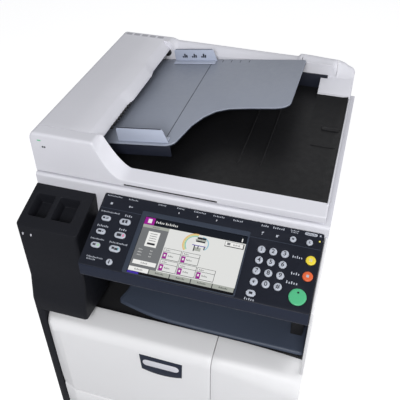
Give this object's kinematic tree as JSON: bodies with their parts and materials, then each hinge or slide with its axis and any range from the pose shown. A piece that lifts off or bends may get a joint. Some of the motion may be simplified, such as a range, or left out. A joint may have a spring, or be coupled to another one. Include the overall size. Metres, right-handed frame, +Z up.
{
  "type": "photocopier",
  "caption": "Floor-standing office copier: flatbed scanner with document feeder on top, tilted control panel, inner output bay, front cover and paper drawers.",
  "frame": {"origin": "on the floor under the centre of the footprint", "axes": "+Z up, the control panel and drawers face -Y, the right-hand side as the user stands is +X"},
  "size_m": [0.6, 0.646, 0.8783],
  "materials": {
    "frame_steel": "galvanised sheet steel",
    "foot_rubber": "black rubber",
    "cover_white": "off-white fine-textured moulding",
    "cover_grey": "light grey fine-textured moulding",
    "trim_black": "near-black textured moulding",
    "bay_navy": "dark blue-grey moulding",
    "panel_navy": "satin blue-black moulding",
    "tray_black": "black moulding",
    "table_blue": "blue-grey moulding",
    "guide_blue": "light blue-grey moulding",
    "screen_glass": "lit touch screen",
    "glass_clear": "clear float glass",
    "mat_white": "white foam-backed sheet",
    "rod_steel": "ground steel",
    "inner_black": "black moulding",
    "toner_dark": "dark grey moulding",
    "drum_green": "coated photoconductor",
    "heat_coat": "release-coated roller",
    "roller_rubber": "rubber roller",
    "press_rubber": "silicone rubber roller",
    "key_grey": "grey keycap",
    "key_yellow": "yellow keycap",
    "key_orange": "orange keycap",
    "key_green": "green keycap"
  },
  "bodies": {
    "chassis": {"base_frame": "frame_steel", "rubber_feet": "foot_rubber", "rear_cover": "cover_white", "left_cover": "cover_white", "right_cover": "cover_white", "side_unit": "trim_black", "right_front_cover": "cover_white", "exit_tray": "bay_navy", "scanner_housing": "cover_white", "platen_glass": "glass_clear", "scan_rod": "rod_steel", "panel_base": "panel_navy", "panel_cover": "panel_navy", "touch_screen": "screen_glass", "toner_container": "toner_dark", "feeder_hinges": "rod_steel", "laser_unit": "inner_black"},
    "lamp": {"lamp_carriage": "inner_black"},
    "mirrors": {"mirror_carriage": "inner_black"},
    "front_door": {"front_cover": "cover_white"},
    "upper_drawer": {"cassette_upper": "cover_white"},
    "lower_drawer": {"cassette_lower": "cover_white"},
    "jam_door": {"side_door": "cover_white"},
    "bypass": {"bypass_tray": "cover_white"},
    "drum_roller": {"drum": "drum_green"},
    "fuser_heat": {"heat_roller": "heat_coat"},
    "fuser_press": {"press_roller": "press_rubber"},
    "feeder": {"feeder_base": "cover_grey", "eject_tray": "tray_black", "platen_mat": "mat_white"},
    "feeder_top": {"feed_cover": "cover_grey"},
    "original_table": {"document_table": "table_blue"},
    "front_guide": {"guide_front": "guide_blue"},
    "rear_guide": {"guide_rear": "guide_blue"},
    "feed_wheel": {"feed_roller": "roller_rubber"},
    "key_1_cap": {"key_1": "key_grey"},
    "key_2_cap": {"key_2": "key_grey"},
    "key_3_cap": {"key_3": "key_grey"},
    "key_4_cap": {"key_4": "key_grey"},
    "key_5_cap": {"key_5": "key_grey"},
    "key_6_cap": {"key_6": "key_grey"},
    "key_7_cap": {"key_7": "key_grey"},
    "key_8_cap": {"key_8": "key_grey"},
    "key_9_cap": {"key_9": "key_grey"},
    "key_0_cap": {"key_0": "key_grey"},
    "key_star_cap": {"key_star": "key_grey"},
    "key_hash_cap": {"key_hash": "key_grey"},
    "key_clear_cap": {"key_clear": "key_grey"},
    "key_reset_cap": {"key_reset": "key_yellow"},
    "key_stop_cap": {"key_stop": "key_orange"},
    "key_start_cap": {"key_start": "key_green"},
    "key_energy_cap": {"key_energy": "key_grey"},
    "key_power_cap": {"key_power": "key_grey"},
    "key_status_cap": {"key_status": "key_grey"},
    "key_copy_cap": {"key_copy": "key_grey"},
    "key_program_cap": {"key_program": "key_grey"},
    "key_send_cap": {"key_send": "key_grey"},
    "key_application_cap": {"key_application": "key_grey"},
    "key_document_box_cap": {"key_document_box": "key_grey"},
    "key_accessibility_cap": {"key_accessibility": "key_grey"}
  },
  "joints": [
    {"name": "front_door_swing", "type": "hinge", "parent": "chassis", "child": "front_door", "pos_m": [0, -0.29, 0.201], "axis": [1, 0, 0], "range_deg": [0, 90]},
    {"name": "upper_drawer_slide", "type": "slide", "parent": "chassis", "child": "upper_drawer", "axis": [0, -1, 0], "range_m": [0, 0.4]},
    {"name": "lower_drawer_slide", "type": "slide", "parent": "chassis", "child": "lower_drawer", "axis": [0, -1, 0], "range_m": [0, 0.4]},
    {"name": "jam_door_swing", "type": "hinge", "parent": "chassis", "child": "jam_door", "pos_m": [0.29, 0.25, 0.38], "axis": [0, 0, 1], "range_deg": [0, 60]},
    {"name": "bypass_swing", "type": "hinge", "parent": "jam_door", "child": "bypass", "pos_m": [0.294, 0.095, 0.238], "axis": [0, 1, 0], "range_deg": [0, 75]},
    {"name": "feeder_lift", "type": "hinge", "parent": "chassis", "child": "feeder", "pos_m": [0, 0.316, 0.792], "axis": [-1, 0, 0], "range_deg": [0, 60]},
    {"name": "feed_cover_swing", "type": "hinge", "parent": "feeder", "child": "feeder_top", "pos_m": [-0.29, 0.08, 0.808], "axis": [0, -1, 0], "range_deg": [0, 70]},
    {"name": "table_lift", "type": "hinge", "parent": "feeder", "child": "original_table", "pos_m": [-0.196, 0.08, 0.822], "axis": [0, -1, 0], "range_deg": [0, 20]},
    {"name": "front_guide_slide", "type": "slide", "parent": "original_table", "child": "front_guide", "axis": [0, 1, 0], "range_m": [0, 0.09]},
    {"name": "rear_guide_slide", "type": "slide", "parent": "original_table", "child": "rear_guide", "axis": [0, 1, 0], "range_m": [-0.09, 0]},
    {"name": "feed_roller_spin", "type": "hinge", "parent": "feeder", "child": "feed_wheel", "pos_m": [-0.22, 0.08, 0.838], "axis": [0, 1, 0], "continuous": true},
    {"name": "lamp_scan", "type": "slide", "parent": "chassis", "child": "lamp", "axis": [1, 0, 0], "range_m": [0, 0.45]},
    {"name": "mirror_scan", "type": "slide", "parent": "chassis", "child": "mirrors", "axis": [1, 0, 0], "range_m": [0, 0.225]},
    {"name": "drum_spin", "type": "hinge", "parent": "chassis", "child": "drum_roller", "pos_m": [0.15, 0, 0.33], "axis": [0, 1, 0], "continuous": true},
    {"name": "heat_roller_spin", "type": "hinge", "parent": "chassis", "child": "fuser_heat", "pos_m": [0.205, 0, 0.59], "axis": [0, 1, 0], "continuous": true},
    {"name": "press_roller_spin", "type": "hinge", "parent": "chassis", "child": "fuser_press", "pos_m": [0.2402, 0, 0.59], "axis": [0, 1, 0], "continuous": true},
    {"name": "key_1_press", "type": "slide", "parent": "chassis", "child": "key_1_cap", "axis": [0, 0.3567, -0.9342], "range_m": [0, 0.0015]},
    {"name": "key_2_press", "type": "slide", "parent": "chassis", "child": "key_2_cap", "axis": [0, 0.3567, -0.9342], "range_m": [0, 0.0015]},
    {"name": "key_3_press", "type": "slide", "parent": "chassis", "child": "key_3_cap", "axis": [0, 0.3567, -0.9342], "range_m": [0, 0.0015]},
    {"name": "key_4_press", "type": "slide", "parent": "chassis", "child": "key_4_cap", "axis": [0, 0.3567, -0.9342], "range_m": [0, 0.0015]},
    {"name": "key_5_press", "type": "slide", "parent": "chassis", "child": "key_5_cap", "axis": [0, 0.3567, -0.9342], "range_m": [0, 0.0015]},
    {"name": "key_6_press", "type": "slide", "parent": "chassis", "child": "key_6_cap", "axis": [0, 0.3567, -0.9342], "range_m": [0, 0.0015]},
    {"name": "key_7_press", "type": "slide", "parent": "chassis", "child": "key_7_cap", "axis": [0, 0.3567, -0.9342], "range_m": [0, 0.0015]},
    {"name": "key_8_press", "type": "slide", "parent": "chassis", "child": "key_8_cap", "axis": [0, 0.3567, -0.9342], "range_m": [0, 0.0015]},
    {"name": "key_9_press", "type": "slide", "parent": "chassis", "child": "key_9_cap", "axis": [0, 0.3567, -0.9342], "range_m": [0, 0.0015]},
    {"name": "key_0_press", "type": "slide", "parent": "chassis", "child": "key_0_cap", "axis": [0, 0.3567, -0.9342], "range_m": [0, 0.0015]},
    {"name": "key_star_press", "type": "slide", "parent": "chassis", "child": "key_star_cap", "axis": [0, 0.3567, -0.9342], "range_m": [0, 0.0015]},
    {"name": "key_hash_press", "type": "slide", "parent": "chassis", "child": "key_hash_cap", "axis": [0, 0.3567, -0.9342], "range_m": [0, 0.0015]},
    {"name": "key_clear_press", "type": "slide", "parent": "chassis", "child": "key_clear_cap", "axis": [0, 0.3567, -0.9342], "range_m": [0, 0.0015]},
    {"name": "key_reset_press", "type": "slide", "parent": "chassis", "child": "key_reset_cap", "axis": [0, 0.3567, -0.9342], "range_m": [0, 0.0015]},
    {"name": "key_stop_press", "type": "slide", "parent": "chassis", "child": "key_stop_cap", "axis": [0, 0.3567, -0.9342], "range_m": [0, 0.0015]},
    {"name": "key_start_press", "type": "slide", "parent": "chassis", "child": "key_start_cap", "axis": [0, 0.3567, -0.9342], "range_m": [0, 0.0015]},
    {"name": "key_energy_press", "type": "slide", "parent": "chassis", "child": "key_energy_cap", "axis": [0, 0.3567, -0.9342], "range_m": [0, 0.0015]},
    {"name": "key_power_press", "type": "slide", "parent": "chassis", "child": "key_power_cap", "axis": [0, 0.3567, -0.9342], "range_m": [0, 0.0015]},
    {"name": "key_status_press", "type": "slide", "parent": "chassis", "child": "key_status_cap", "axis": [0, 0.3567, -0.9342], "range_m": [0, 0.0015]},
    {"name": "key_copy_press", "type": "slide", "parent": "chassis", "child": "key_copy_cap", "axis": [0, 0.3567, -0.9342], "range_m": [0, 0.0015]},
    {"name": "key_program_press", "type": "slide", "parent": "chassis", "child": "key_program_cap", "axis": [0, 0.3567, -0.9342], "range_m": [0, 0.0015]},
    {"name": "key_send_press", "type": "slide", "parent": "chassis", "child": "key_send_cap", "axis": [0, 0.3567, -0.9342], "range_m": [0, 0.0015]},
    {"name": "key_application_press", "type": "slide", "parent": "chassis", "child": "key_application_cap", "axis": [0, 0.3567, -0.9342], "range_m": [0, 0.0015]},
    {"name": "key_document_box_press", "type": "slide", "parent": "chassis", "child": "key_document_box_cap", "axis": [0, 0.3567, -0.9342], "range_m": [0, 0.0015]},
    {"name": "key_accessibility_press", "type": "slide", "parent": "chassis", "child": "key_accessibility_cap", "axis": [0, 0.3567, -0.9342], "range_m": [0, 0.0015]}
  ],
  "couplings": [
    {"joint": "mirror_scan", "follows": "lamp_scan", "ratio": 0.5},
    {"joint": "rear_guide_slide", "follows": "front_guide_slide", "ratio": -1},
    {"joint": "press_roller_spin", "follows": "heat_roller_spin", "ratio": -0.94444}
  ]
}
